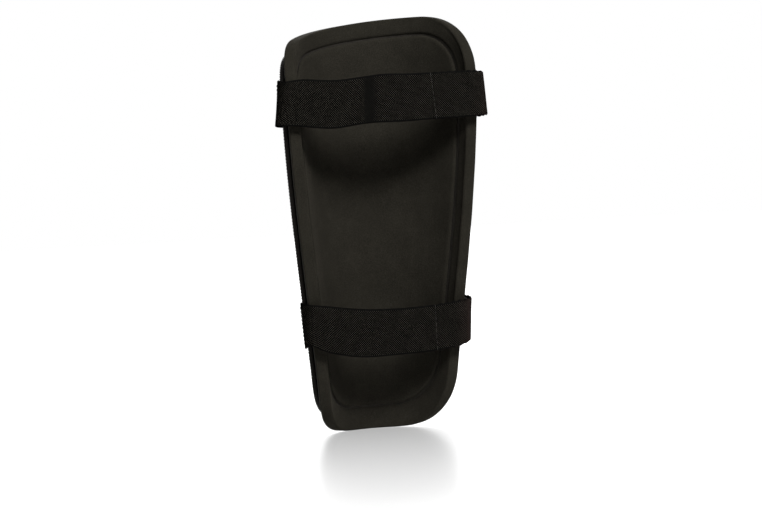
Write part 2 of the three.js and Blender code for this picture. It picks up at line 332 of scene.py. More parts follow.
def layer_object(name, rings, relief=None):
    """A closed layer of the guard. rings run from the innermost ring of the leg-side face, out
    over the edge, to the innermost ring of the far face: (flat loop, depth, flat cut).
    relief(flat, depth, face) gives the depth inside and on the rings, face 0 or 1."""
    relief = relief or (lambda flat, depth, face: depth)
    grid = np.empty((UP_COUNT + 1, ACROSS_COUNT + 1), dtype=int)
    border = [(0, i) for i in range(ACROSS_COUNT)]
    border += [(j, ACROSS_COUNT) for j in range(UP_COUNT)]
    border += [(UP_COUNT, i) for i in range(ACROSS_COUNT, 0, -1)]
    border += [(j, 0) for j in range(UP_COUNT, 0, -1)]
    border = tuple(np.array(border).T)
    points, cuts, faces = [], [], []
    for loop, depth, cut in rings:
        points.append(on_wall(loop, depth))
        cuts.append(cut)
    around = np.arange(LOOP_COUNT)
    after = np.roll(around, -1)
    for ring in range(len(rings) - 1):
        near, far = ring * LOOP_COUNT, (ring + 1) * LOOP_COUNT
        faces += np.stack([near + around, far + around, far + after, near + after], axis=-1).tolist()
    start = len(rings) * LOOP_COUNT
    for face, ring in ((0, 0), (1, len(rings) - 1)):
        loop, depth, cut = rings[ring]
        inner_flat = filled(loop)[1:-1, 1:-1]
        inner_cut = filled(cut)[1:-1, 1:-1]
        level = float(np.mean(depth))
        points.append(on_wall(inner_flat, relief(inner_flat, level, face)).reshape(-1, 3))
        cuts.append(inner_cut.reshape(-1, 2))
        grid[border] = ring * LOOP_COUNT + around
        count = (UP_COUNT - 1) * (ACROSS_COUNT - 1)
        grid[1:-1, 1:-1] = np.arange(start, start + count).reshape(UP_COUNT - 1, ACROSS_COUNT - 1)
        start += count
        quads = np.stack([grid[:-1, :-1], grid[:-1, 1:], grid[1:, 1:], grid[1:, :-1]], axis=-1)
        quads = quads.reshape(-1, 4)
        faces += (quads if face == 0 else quads[:, ::-1]).tolist()
    points = np.concatenate(points)
    return mesh_object(name, points, outward_faces(points, faces), np.concatenate(cuts))


def profile_rings(loop_at, profile):
    """Rings that follow a profile of (inset, depth) steps, innermost first, with the flat cut
    unrolled over the edge. loop_at(inset) gives the flat loop."""
    rings = []
    reach = 0.0
    last = profile[0]
    base = loop_at(last[0])
    normal = outward(base)
    for step in profile:
        reach += math.dist(step, last)
        last = step
        rings.append((loop_at(step[0]), step[1], base + normal * reach))
    return rings


def arc_steps(centre, radius, start, end, count):
    """Steps of a round edge in a profile, angles in degrees."""
    angles = np.radians(np.linspace(start, end, count))
    return [(centre[0] + radius * math.cos(a), centre[1] + radius * math.sin(a)) for a in angles]


# ---------------------------------------------------------------------------
# Strap surfaces
# ---------------------------------------------------------------------------


def wall_front(z):
    """How far forward the wall's side edges reach at a height."""
    return CREST_Y - radius_at(z) * (1 - math.cos(WRAP))


STRAP_ENDS = [s.height + side * STRAP_WIDTH / 2 for s in STRAPS for side in (-1, 1)]
STRAP_LEAN = (wall_front(LOWER.height) - wall_front(UPPER.height)) / (UPPER.height - LOWER.height)
STRAP_FOOT = min(wall_front(z) + STRAP_LEAN * z for z in STRAP_ENDS) - WALL_CLEARANCE - HOOK_TAPE - GAP


def strap_plane(z):
    """How far forward the straps' back face lies at a height."""
    return STRAP_FOOT - STRAP_LEAN * z


def fold_angle(z, depth):
    """Where a layer of the wall meets the straps' plane, as an angle off the crest."""
    radius = radius_at(z)
    level = strap_plane(z) + 2 * FOLD_CLEARANCE
    return np.arccos((level - CREST_Y + radius) / (radius + depth))


def side_height(strap, side):
    """Height of the strap's middle on one side of the wall."""
    return strap.height + side * strap.tilt * radius_at(strap.height)


def fold_x(strap, side, depth):
    """Where the strap turns round one side of the wall."""
    angle = fold_angle(strap.height, depth)
    return side * ((radius_at(strap.height) + depth) * math.sin(angle))


# How a strap really lies: how far its folds stand out from the straight ones, at its
# lower and upper edge, where its edges hang lower (amount, middle x, spread), where its slack
# gathers in a pucker, how far its lower and upper edge are drawn in at the folds, and how far,
# up to 1, its threads part round the right fold, where their pale band is also a painted highlight.
Lie = namedtuple("Lie", "left right top bottom crease drawn_left drawn_right parted")
LIES = {
    "upper": Lie(
        left=(5.6, -0.4), right=(-1.2, -5.4),
        top=((-1.9, -36.0, 16.0), (0.8, -2.0, 9.0)), bottom=((-2.6, -38.0, 16.0), (-0.5, 10.0, 12.0)),
        crease=-13.0, drawn_left=(2.0, 1.8), drawn_right=(0.8, 2.6), parted=0.35),
    "lower": Lie(
        left=(0.6, -1.4), right=(-4.2, -3.4),
        top=((-0.3, -20.0, 14.0),), bottom=((-1.6, -22.0, 18.0), (1.6, -56.0, 6.0)),
        crease=None, drawn_left=(3.0, 1.0), drawn_right=(3.4, 1.0), parted=0.9),
}


def hang(places, x):
    """How far an edge is off its line at x, hanging at each of the given places."""
    return sum(amount * np.exp(-((x - middle) / spread) ** 2) for amount, middle, spread in places)


ROW_STEP = 6.0            # between the rows that a strap's shape is held by
ROW_PARTS = 6             # finer rows made between two of them
ACROSS = np.linspace(-1, 1, 21)
DRAWN_SPREAD = 6.0        # how far from a fold its edges are drawn in
ANCHOR_LIES_FLAT = 22.0   # how far behind its fold the sewn end lies flat on the shell
TAB_LIES_FLAT = 16.0      # and the free end
FIRST_ON_TAB = 4.6        # from the right fold to the first row behind it
TAB_ROWS = 7


def strap_rows(strap):
    """Rows across the strap, from its sewn end round both folds to its free end, that its
    smooth middle surface is held by."""
    lie = LIES[strap.name]
    half = ELASTIC / 2
    share = (ACROSS + 1) / 2
    left = fold_x(strap, LEFT, ANCHOR[0])
    right = fold_x(strap, RIGHT, TAB[0])
    stand_left = lie.left[0] + (lie.left[1] - lie.left[0]) * share
    stand_right = lie.right[0] + (lie.right[1] - lie.right[0]) * share
    rows = []

    def drawn_in(amounts, distance):
        """How far the edges are drawn in at a distance from a fold."""
        lower, upper = amounts
        near = np.exp(-(distance / DRAWN_SPREAD) ** 2)
        return near * (lower * (1 - share) ** 5 - upper * share ** 5)

    def on_side(side, back, layer, stand, spread):
        """A row on the side of the wall, back from its fold."""
        z = side_height(strap, side) + ACROSS * STRAP_WIDTH / 2
        z = z + drawn_in(lie.drawn_left if side == LEFT else lie.drawn_right, back)
        angle = fold_angle(z, layer[0]) - back / (radius_at(z) + layer[0])
        loose = stand * (1 - smooth(back, 0.0, spread))
        rows.append(wall(side * angle, z, layer[0] + half + loose))

    def across_leg(x):
        """A row of the stretch across the leg opening."""
        middle = 2 * (x - left) / (right - left) - 1
        bow = STRAP_BULGE * np.clip(1 - middle ** 4, 0, 1)
        drop = strap.sag * (1 - middle ** 2)
        lower, upper = hang(lie.bottom, x), hang(lie.top, x)
        z = strap.height + strap.tilt * x - drop + ACROSS * STRAP_WIDTH / 2
        z = z + lower + (upper - lower) * share
        z = z + drawn_in(lie.drawn_left, x - left) + drawn_in(lie.drawn_right, right - x)
        y = strap_plane(z) - bow - half
        rows.append(np.stack([x + 0 * z, y, z], axis=-1))

    for back in np.arange(ANCHOR_LENGTH, 3.9, -ROW_STEP + 0.6):
        on_side(LEFT, back, ANCHOR, stand_left, ANCHOR_LIES_FLAT)
    across_leg(left + 0.2 - stand_left)
    count = round((right - left) / ROW_STEP)
    for x in np.linspace(left, right, count + 1)[1:-1]:
        across_leg(np.full_like(ACROSS, x))
    across_leg(right + 0.2 + stand_right)
    tab_step = (strap.tab_length - FIRST_ON_TAB) / TAB_ROWS
    for back in np.arange(FIRST_ON_TAB, strap.tab_length + 0.1, tab_step):
        on_side(RIGHT, back, TAB, stand_right, TAB_LIES_FLAT)
    return np.array(rows)


def spline_rows(rows):
    """Rows of a cubic B-spline held by the given rows."""
    held = np.concatenate([2 * rows[:1] - rows[1:2], rows, 2 * rows[-1:] - rows[-2:-1]])
    t = np.arange(ROW_PARTS)[:, None, None] / ROW_PARTS
    weights = ((1 - t) ** 3, 3 * t ** 3 - 6 * t ** 2 + 4, -3 * t ** 3 + 3 * t ** 2 + 3 * t + 1, t ** 3)
    fine = []
    for i in range(len(held) - 3):
        fine.append(sum(w * held[i + k][None] for k, w in enumerate(weights)) / 6)
    return np.concatenate(fine + [rows[-1:]])


class Ribbon:
    """A strap's middle surface, read by the length along it and the share across it."""

    def __init__(self, strap):
        self.strap = strap
        grid = spline_rows(strap_rows(strap))
        crease = LIES[strap.name].crease
        if crease is not None:
            grid = grid + self.soft_crease(grid, crease)
        self.points = grid
        along = np.gradient(grid, axis=0)
        across = np.gradient(grid, axis=1)
        normal = np.cross(along, across)
        self.normals = normal / np.linalg.norm(normal, axis=-1)[..., None]
        middle = grid[:, len(ACROSS) // 2]
        self.reach = np.concatenate([[0], np.cumsum(np.linalg.norm(np.diff(middle, axis=0), axis=1))])
        self.length = self.reach[-1]

    @staticmethod
    def soft_crease(grid, crease):
        """A shallow upright pucker, where slack has gathered."""
        x = grid[..., 0] - crease - 0.05 * (grid[..., 2] - grid[..., 2].mean())
        front = grid[..., 1] < grid[..., 1].min() + 12
        dent = 1.5 * np.exp(-(x / 3.4) ** 2) - 0.8 * np.exp(-((x + 8) / 4.5) ** 2)
        return np.stack([0 * x, front * dent, 0 * x], axis=-1)

    def reach_at_x(self, x):
        """Length along the strap where its front middle passes x."""
        middle = self.points[:, len(ACROSS) // 2]
        front = middle[:, 1] < middle[:, 1].min() + 7
        return float(np.interp(x, middle[front, 0], self.reach[front]))

    def at(self, reach, across, lift):
        """Points at lengths and shares across, lifted off the middle surface."""
        reach, across, lift = np.broadcast_arrays(reach, across, lift)
        i = np.clip(np.interp(reach, self.reach, np.arange(len(self.reach))), 0, len(self.reach) - 1.001)
        j = np.clip((across + 1) / 2 * (len(ACROSS) - 1), 0, len(ACROSS) - 1.001)
        i0, j0 = i.astype(int), j.astype(int)
        di, dj = (i - i0)[..., None], (j - j0)[..., None]

        def read(grid):
            near = grid[i0, j0] * (1 - dj) + grid[i0, j0 + 1] * dj
            far = grid[i0 + 1, j0] * (1 - dj) + grid[i0 + 1, j0 + 1] * dj
            return near * (1 - di) + far * di

        normal = read(self.normals)
        normal = normal / np.linalg.norm(normal, axis=-1)[..., None]
        point = read(self.points)
        past = (np.abs(across) - 1).clip(0)[..., None] * np.sign(across)[..., None]
        return point + normal * lift[..., None] + past * np.array([0, 0, STRAP_WIDTH / 2]), normal


def band_object(name, ribbon, start, end, width, middle, thick, round_ends=(True, True), wave=0.0):
    """A closed flat band on a ribbon, with round edges: lengths from start to end, its width,
    the lift of its middle and its thickness. wave makes its edges uneven."""
    half = thick / 2
    count = max(4, round((end - start) / 1.5))
    stations = np.linspace(start, end, count + 1)
    round_off = np.array([0.0, 0.12, 0.45, 1.0]) * half
    if round_ends[0]:
        stations = np.concatenate([start + round_off[:-1], stations[1:]])
    if round_ends[1]:
        stations = np.concatenate([stations[:-1], end - round_off[::-1][1:]])
    edge = width / 2
    inner = np.linspace(-edge + half, edge - half, 22)
    rows = np.concatenate([-edge + round_off[:-1], inner, edge - round_off[:-1][::-1]])

    def fullness(distance):
        near = np.clip(1 - distance / half, 0, 1)
        return np.sqrt(1 - near ** 2)

    side_full = fullness(edge - np.abs(rows))
    end_full = np.ones_like(stations)
    if round_ends[0]:
        end_full = np.minimum(end_full, fullness(stations - start))
    if round_ends[1]:
        end_full = np.minimum(end_full, fullness(end - stations))
    thin = np.minimum(end_full[:, None], side_full[None])
    reach = stations[:, None] + 0 * rows[None]
    uneven = np.sin(stations * 1.3) + 0.6 * np.sin(stations * 2.9 + 1)
    ripple = wave * uneven[:, None] * (np.sign(rows) * (np.abs(rows) / edge) ** 8)[None]
    share = (rows[None] + ripple) / (STRAP_WIDTH / 2)
    front, _ = ribbon.at(reach, share, middle + half * thin)
    back, _ = ribbon.at(reach, share, middle - half * thin)
    across_count = len(rows)
    points = np.concatenate([front, back[:, ::-1]], axis=1)
    ring = 2 * across_count
    flat = np.stack([reach, rows[None] + 0 * reach], axis=-1)
    flat = np.concatenate([flat, flat[:, ::-1]], axis=1)
    index = np.arange(points.shape[0] * ring).reshape(points.shape[0], ring)
    ahead = np.roll(index, -1, axis=1)
    faces = np.stack([index[:-1], index[1:], ahead[1:], ahead[:-1]], axis=-1).reshape(-1, 4).tolist()
    for row, turned in ((index[0], True), (index[-1], False)):
        mirror = row[::-1]
        cap = np.stack([row[:across_count - 1], row[1:across_count],
                        mirror[1:across_count], mirror[:across_count - 1]], axis=-1)
        faces += (cap if turned else cap[:, ::-1]).tolist()
    points = points.reshape(-1, 3)
    return mesh_object(name, points, outward_faces(points, faces), flat.reshape(-1, 2))


# ---------------------------------------------------------------------------
# Node helpers
# ---------------------------------------------------------------------------


def add_node(tree, kind, inputs=None, **settings):
    """A node with its settings. inputs maps socket names or numbers to values or outputs."""
    node = tree.nodes.new(kind)
    for key, value in settings.items():
        setattr(node, key, value)
    for key, value in (inputs or {}).items():
        if isinstance(value, bpy.types.NodeSocket):
            tree.links.new(value, node.inputs[key])
        else:
            node.inputs[key].default_value = value
    return node


def linear(hex_code, alpha=1.0):
    """A linear colour from an sRGB hex value."""
    channels = [int(hex_code[i:i + 2], 16) / 255 for i in (1, 3, 5)]
    channels = [c / 12.92 if c <= 0.04045 else ((c + 0.055) / 1.055) ** 2.4 for c in channels]
    return (*channels, alpha)


def new_material(name):
    material = bpy.data.materials.new(name)
    material.use_nodes = True
    material.node_tree.nodes.clear()
    return material, material.node_tree


def finish_material(tree, colour, relief, **sockets):
    """The shader and output of a material. relief is its bump: height, strength and distance.
    sockets are set on the shader itself."""
    height, strength, distance = relief
    bump = add_node(tree, "ShaderNodeBump", {
        "Height": height, "Strength": strength, "Distance": distance}).outputs["Normal"]
    inputs = {name.replace("_", " "): value for name, value in sockets.items()}
    shader = add_node(tree, "ShaderNodeBsdfPrincipled", {"Base Color": colour, "Normal": bump, **inputs})
    add_node(tree, "ShaderNodeOutputMaterial", {"Surface": shader.outputs["BSDF"]})


def math_node(tree, operation, first, second=0.0, third=0.0):
    inputs = {0: first, 1: second, 2: third}
    return add_node(tree, "ShaderNodeMath", inputs, operation=operation).outputs[0]


def colour_ramp(tree, factor, stops):
    """Colours at positions from 0 to 1, as (position, sRGB hex)."""
    node = add_node(tree, "ShaderNodeValToRGB", {"Fac": factor})
    ramp = node.color_ramp
    for element, (position, colour) in zip(ramp.elements, (stops[0], stops[-1])):
        element.position = position
        element.color = linear(colour)
    for position, colour in stops[1:-1]:
        ramp.elements.new(position).color = linear(colour)
    return node.outputs["Color"]


def object_place(tree):
    return add_node(tree, "ShaderNodeTexCoord").outputs["Object"]


def cut_place(tree):
    """The place on the flat cut, in metres."""
    return add_node(tree, "ShaderNodeUVMap", uv_map="cut").outputs["UV"]


def marked(tree, name):
    """An amount that was marked on the points."""
    return add_node(tree, "ShaderNodeAttribute", attribute_name=name).outputs["Fac"]


def clouds(tree, place, size, detail, rough=0.5):
    """Clouding of a size in millimetres."""
    return add_node(tree, "ShaderNodeTexNoise", {
        "Vector": place, "Scale": 1 / (size * MM), "Detail": detail, "Roughness": rough}).outputs["Fac"]


# ---------------------------------------------------------------------------
# Materials
# ---------------------------------------------------------------------------

MOTTLE = 14.0             # mm, soft clouding of a brushed face
FIBRE = 0.55              # mm, drawn as coarse as it needs to show
WALE = 1.1                # mm, ribs of the knit
WARP_PITCH = 1.46         # mm, between every second warp thread of the elastic
PICK = 1.46               # mm, between every second weft pick
FLOAT_SHARPNESS = 3.0     # how narrow the bright middle of a float is
THREAD_WANDER = 0.5       # mm, how far the warp strays from even
FOAM_CELL = 0.6           # mm
GRAIN = 0.9               # mm, sparked grain of the mould
PILE_CLUMP = 1.4          # mm
TWIST = 0.5               # mm, of the thread's plies
HOOK_GROUND_WEAVE = 0.8   # mm
BAND_PERIOD = 0.314       # of the wave texture's bands, at a scale of 1


def brushed_polyester_knit():
    """Warp-knitted polyester with a brushed face: matt warm charcoal, faintly clouded, with a
    short nap that lightens at a grazing angle."""
    material, tree = new_material("brushed polyester knit")
    place = object_place(tree)
    cloud = clouds(tree, place, MOTTLE, 3.0, 0.55)
    fibre = clouds(tree, place, FIBRE, 4.0, 0.65)
    cut = cut_place(tree)
    wales = add_node(tree, "ShaderNodeTexWave", {
        "Vector": cut, "Scale": 1 / (WALE * MM) * BAND_PERIOD, "Distortion": 1.2,
        "Detail": 2.0, "Detail Scale": 1.5}, wave_type="BANDS", bands_direction="X").outputs["Fac"]
    tone = math_node(tree, "MULTIPLY_ADD", fibre, 0.78, math_node(tree, "MULTIPLY", cloud, 0.22))
    colour = colour_ramp(tree, tone, (
        (0.32, "#1c1b17"), (0.5, "#272520"), (0.68, "#312f29")))
    height = math_node(tree, "MULTIPLY_ADD", wales, 0.35, fibre)
    finish_material(tree, colour, (height, 0.45, 0.00022), Roughness=0.95, Specular_IOR_Level=0.02,
                    Sheen_Weight=0.03, Sheen_Roughness=0.5, Sheen_Tint=linear("#d8cdbd"))
    return material


def woven_elastic():
    """Black woven elastic webbing: a plain weave whose floats catch the light in a checker, painted
    into its colour as a painted highlight, between plain selvedges. Where the slack gathers in a
    pucker that highlight is dimmed as painted shade. Where it is bent sharply the threads part and
    pale elastomer shows, a band that is also a painted highlight along the right fold."""
    material, tree = new_material("woven elastic webbing")
    cut = cut_place(tree)
    axes = add_node(tree, "ShaderNodeSeparateXYZ", {"Vector": cut})
    wander = clouds(tree, cut, 9, 2.0)
    along = math_node(tree, "MULTIPLY_ADD", wander, THREAD_WANDER * MM, axes.outputs["X"])
    across = axes.outputs["Y"]
    turns = math_node(tree, "MULTIPLY", along, 2 * math.pi / (WARP_PITCH * MM))
    picks = math_node(tree, "MULTIPLY", across, 2 * math.pi / (PICK * MM))
    checker = math_node(tree, "MULTIPLY", math_node(tree, "SINE", turns), math_node(tree, "SINE", picks))
    speck = clouds(tree, cut, 1.0, 2.0, 0.7)
    patch = clouds(tree, cut, 6, 2.0)
    edge = math_node(tree, "ABSOLUTE", across)
    body = math_node(tree, "LESS_THAN", edge, (STRAP_WIDTH / 2 - SELVEDGE) * MM)
    # Painted shade where the slack has gathered: the painted highlight of the floats is dimmed there.
    pucker_shade = marked(tree, "pucker_shade")
    body = math_node(tree, "MULTIPLY", body, math_node(tree, "MULTIPLY_ADD", pucker_shade, -0.85, 1.0))
    # The bright checker of the floats is a painted highlight in the colour; the shader has no specular.
    raised = math_node(tree, "POWER", math_node(tree, "MAXIMUM", checker, 0.0), FLOAT_SHARPNESS)
    floats = math_node(tree, "MULTIPLY", raised, math_node(tree, "MULTIPLY_ADD", patch, 0.4, 0.8))
    floats = math_node(tree, "MULTIPLY", floats, math_node(tree, "MULTIPLY_ADD", speck, 0.24, 0.88))
    plain = math_node(tree, "MULTIPLY_ADD", body, -0.3, 0.3)
    light = math_node(tree, "MULTIPLY_ADD", floats, body, plain)
    # Pale band round the right fold: elastomer where the threads part, and a painted highlight along the
    # fold.
    parted = marked(tree, "parted")
    rubber_and_highlight = math_node(tree, "MULTIPLY", parted, math_node(tree, "MULTIPLY_ADD", speck, 1.3, 0.1))
    colour = colour_ramp(tree, light, (
        (0.0, "#010101"), (0.3, "#0f0f0e"), (1.0, "#757167")))
    colour = add_node(tree, "ShaderNodeMix", {
        "Factor": rubber_and_highlight, 6: colour, 7: linear("#2a2220")}, data_type="RGBA").outputs[2]
    finish_material(tree, colour, (checker, 0.4, 0.0002), Roughness=0.8, Specular_IOR_Level=0.0)
    return material


def closed_cell_foam():
    """Cut EVA foam: matt near-black with small even cells, faintly clouded."""
    material, tree = new_material("closed-cell EVA foam")
    place = object_place(tree)
    cells = add_node(tree, "ShaderNodeTexVoronoi", {
        "Vector": place, "Scale": 1 / (FOAM_CELL * MM)}).outputs["Distance"]
    cloud = clouds(tree, place, 8, 3.0)
    tone = math_node(tree, "MULTIPLY_ADD", cells, 0.5, math_node(tree, "MULTIPLY", cloud, 0.5))
    colour = colour_ramp(tree, tone, ((0.25, "#171512"), (0.75, "#2b2823")))
    finish_material(tree, colour, (cells, 0.6, 0.00025), Roughness=0.9, Specular_IOR_Level=0.2)
    return material


def moulded_polypropylene():
    """Injection-moulded polypropylene: black satin with a fine spark-eroded grain, rubbed a
    little shinier and greyer where it stands proud."""
    material, tree = new_material("moulded polypropylene")
    place = object_place(tree)
    grain = clouds(tree, place, GRAIN, 3.0, 0.6)
    rub = clouds(tree, place, 26, 4.0, 0.6)
    worn = marked(tree, "worn")
    wear = math_node(tree, "MULTIPLY", worn, math_node(tree, "MULTIPLY_ADD", rub, 0.7, 0.1))
    tone = math_node(tree, "MULTIPLY_ADD", wear, 0.6, math_node(tree, "MULTIPLY", grain, 0.3))
    colour = colour_ramp(tree, tone, (
        (0.1, "#100e0c"), (0.35, "#171512"), (0.8, "#2a2825")))
    rough = math_node(tree, "MULTIPLY_ADD", wear, -0.2, 0.62)
    finish_material(tree, colour, (grain, 0.35, 0.00012), Roughness=rough, Specular_IOR_Level=0.06)
    return material


def nylon_hook_tape():
    """Nylon hook tape: black, with a slight plastic shine on the woven ground and the hooks."""
    material, tree = new_material("nylon hook tape")
    place = object_place(tree)
    ground = clouds(tree, place, HOOK_GROUND_WEAVE, 2.0)
    colour = colour_ramp(tree, ground, ((0.3, "#0a0a0a"), (0.7, "#1b1b1a")))
    finish_material(tree, colour, (ground, 0.4, 0.0002), Roughness=0.62, Specular_IOR_Level=0.15)
    return material


def nylon_loop_pile():
    """Brushed nylon loop tape: a fuzzy black pile, dull, a little grey where it is clumped."""
    material, tree = new_material("brushed nylon loop tape")
    place = object_place(tree)
    clump = clouds(tree, place, PILE_CLUMP, 5.0, 0.7)
    colour = colour_ramp(tree, clump, ((0.3, "#0c0c0c"), (0.7, "#262625")))
    finish_material(tree, colour, (clump, 0.8, 0.0005), Roughness=0.9, Specular_IOR_Level=0.1,
                    Sheen_Weight=0.25, Sheen_Roughness=0.4)
    return material


def bonded_polyester_thread():
    """Bonded polyester thread: dark grey, twisted, with a low wax shine."""
    material, tree = new_material("bonded polyester thread")
    place = object_place(tree)
    twist = add_node(tree, "ShaderNodeTexWave", {
        "Vector": place, "Scale": 1 / (TWIST * MM) * BAND_PERIOD, "Distortion": 2.0},
        wave_type="BANDS", bands_direction="DIAGONAL").outputs["Fac"]
    colour = colour_ramp(tree, twist, ((0.2, "#151411"), (0.8, "#302d28")))
    finish_material(tree, colour, (twist, 0.5, 0.0001), Roughness=0.6, Specular_IOR_Level=0.3)
    return material


KNIT = brushed_polyester_knit()
WOVEN = woven_elastic()
FOAM = closed_cell_foam()
PLASTIC = moulded_polypropylene()
HOOKS = nylon_hook_tape()
PILE = nylon_loop_pile()
THREAD = bonded_polyester_thread()

# ---------------------------------------------------------------------------
# Geometry Nodes: stitches and pile
# ---------------------------------------------------------------------------


def input_sockets(tree, sockets):
    """Named inputs of a node tree, as {name: kind}, and its geometry output."""
    tree.interface.new_socket("Geometry", in_out="INPUT", socket_type="NodeSocketGeometry")
    for name, kind in sockets.items():
        tree.interface.new_socket(name, in_out="INPUT", socket_type="NodeSocket" + kind)
    tree.interface.new_socket("Geometry", in_out="OUTPUT", socket_type="NodeSocketGeometry")
    return add_node(tree, "NodeGroupInput").outputs


def strand(tree, width, rise, tip, thread, sides):
    """A short arched strand: from -width/2 to width/2, rise high, its far end at height tip."""
    half = math_node(tree, "MULTIPLY", width, 0.5)
    back = math_node(tree, "MULTIPLY", width, -0.5)
    twice = math_node(tree, "MULTIPLY", rise, 2.0)
    start = add_node(tree, "ShaderNodeCombineXYZ", {"X": back}).outputs[0]
    crest = add_node(tree, "ShaderNodeCombineXYZ", {"Z": twice}).outputs[0]
    end = add_node(tree, "ShaderNodeCombineXYZ", {"X": half, "Z": tip}).outputs[0]
    arch = add_node(tree, "GeometryNodeCurveQuadraticBezier", {
        "Resolution": 5, "Start": start, "Middle": crest, "End": end}).outputs[0]
    ring = add_node(tree, "GeometryNodeCurvePrimitiveCircle", {
        "Resolution": sides, "Radius": thread}).outputs[0]
    return add_node(tree, "GeometryNodeCurveToMesh", {
        "Curve": arch, "Profile Curve": ring, "Fill Caps": True}).outputs[0]


def standing(tree):
    """The turn that stands a strand up, along the way its point faces."""
    facing = add_node(tree, "GeometryNodeInputNamedAttribute", {"Name": "facing"},
                      data_type="FLOAT_VECTOR").outputs["Attribute"]
    return add_node(tree, "FunctionNodeAlignRotationToVector", {"Vector": facing}, axis="Z").outputs[0]


def close_tree(tree, instances, material):
    """The tree's end: real geometry in its material."""
    real = add_node(tree, "GeometryNodeRealizeInstances", {"Geometry": instances}).outputs[0]
    finished = add_node(tree, "GeometryNodeSetMaterial", {
        "Geometry": real, "Material": material}).outputs[0]
    add_node(tree, "NodeGroupOutput", {0: finished})
    return tree


def stitch_tree():
    """Stitches at an even pitch along a line of vertices that know which way they face."""
    tree = bpy.data.node_groups.new("stitches along a seam", "GeometryNodeTree")
    given = input_sockets(tree, {
        "Pitch": "Float", "Stitch length": "Float", "Rise": "Float", "Thread radius": "Float",
        "Slant": "Float", "Thread": "Material"})
    line = add_node(tree, "GeometryNodeMeshToCurve", {"Mesh": given["Geometry"]}).outputs[0]
    spaced = add_node(tree, "GeometryNodeResampleCurve", {
        "Curve": line, "Length": given["Pitch"]}, mode="LENGTH").outputs[0]
    tangent = add_node(tree, "GeometryNodeInputTangent").outputs[0]
    upright = standing(tree)
    turned = add_node(tree, "FunctionNodeAlignRotationToVector", {
        "Rotation": upright, "Vector": tangent}, axis="X", pivot_axis="Z").outputs[0]
    angle = add_node(tree, "ShaderNodeCombineXYZ", {"Z": given["Slant"]}).outputs[0]
    slant = add_node(tree, "FunctionNodeEulerToRotation", {"Euler": angle}).outputs[0]
    set_over = add_node(tree, "FunctionNodeRotateRotation", {
        "Rotation": turned, "Rotate By": slant}, rotation_space="LOCAL").outputs[0]
    stitch = strand(tree, given["Stitch length"], given["Rise"], 0.0, given["Thread radius"], 6)
    placed = add_node(tree, "GeometryNodeInstanceOnPoints", {
        "Points": spaced, "Instance": stitch, "Rotation": set_over}).outputs[0]
    return close_tree(tree, placed, given["Thread"])


def pile_tree():
    """Small strands standing on points that know which way they face, each turned at random."""
    tree = bpy.data.node_groups.new("pile on a tape", "GeometryNodeTree")
    given = input_sockets(tree, {
        "Width": "Float", "Rise": "Float", "Tip": "Float", "Thread radius": "Float",
        "Turn": "Float", "Seed": "Int", "Fibre": "Material"})
    upright = standing(tree)
    most = given["Turn"]
    least = math_node(tree, "MULTIPLY", most, -1.0)
    chance = add_node(tree, "FunctionNodeRandomValue", {2: least, 3: most, "Seed": given["Seed"]},
                      data_type="FLOAT").outputs[1]
    angle = add_node(tree, "ShaderNodeCombineXYZ", {"Z": chance}).outputs[0]
    spin = add_node(tree, "FunctionNodeEulerToRotation", {"Euler": angle}).outputs[0]
    turned = add_node(tree, "FunctionNodeRotateRotation", {
        "Rotation": upright, "Rotate By": spin}, rotation_space="LOCAL").outputs[0]
    fibre = strand(tree, given["Width"], given["Rise"], given["Tip"], given["Thread radius"], 4)
    placed = add_node(tree, "GeometryNodeInstanceOnPoints", {
        "Points": given["Geometry"], "Instance": fibre, "Rotation": turned}).outputs[0]
    return close_tree(tree, placed, given["Fibre"])


STITCHES = stitch_tree()
TAPE_PILE = pile_tree()


def grown(name, points, facing, tree, closed=None, **values):
    """The plain mesh that a node tree makes on points in millimetres. closed is True for a ring
    of points, False for a line and None for loose points."""
    count = len(points)
    edges = [] if closed is None else [(i, i + 1) for i in range(count - 1)]
    if closed:
        edges.append((count - 1, 0))
    mesh = bpy.data.meshes.new(name + " line")
    mesh.from_pydata((np.asarray(points) * MM).tolist(), edges, [])
    layer = mesh.attributes.new("facing", "FLOAT_VECTOR", "POINT")
    layer.data.foreach_set("vector", np.asarray(facing, dtype=np.float32).ravel())
    source = add_object(name + " line", mesh)
    modifier = source.modifiers.new("nodes", "NODES")
    modifier.node_group = tree
    for item in tree.interface.items_tree:
        key = item.name.lower().replace(" ", "_")
        if item.in_out == "INPUT" and key in values:
            modifier[item.identifier] = values[key]
    depsgraph = bpy.context.evaluated_depsgraph_get()
    result = bpy.data.meshes.new_from_object(source.evaluated_get(depsgraph))
    bpy.data.objects.remove(source)
    result.name = name
    result.shade_smooth()
    return add_object(name, result)


STITCH_LOOKS = dict(pitch=2.6 * MM, stitch_length=2.1 * MM, rise=0.32 * MM, thread_radius=0.19 * MM,
                    slant=0.0, thread=THREAD)


def stitched(name, points, facing, closed=False, **changes):
    return grown(name, points, facing, STITCHES, closed=closed, **{**STITCH_LOOKS, **changes})


def joined(name, *objects):
    """Several meshes as one object, under the first one's name."""
    with bpy.context.temp_override(active_object=objects[0], selected_editable_objects=list(objects)):
        bpy.ops.object.join()
    objects[0].name = name
    return objects[0]


# ---------------------------------------------------------------------------
# The guard's layers
# ---------------------------------------------------------------------------

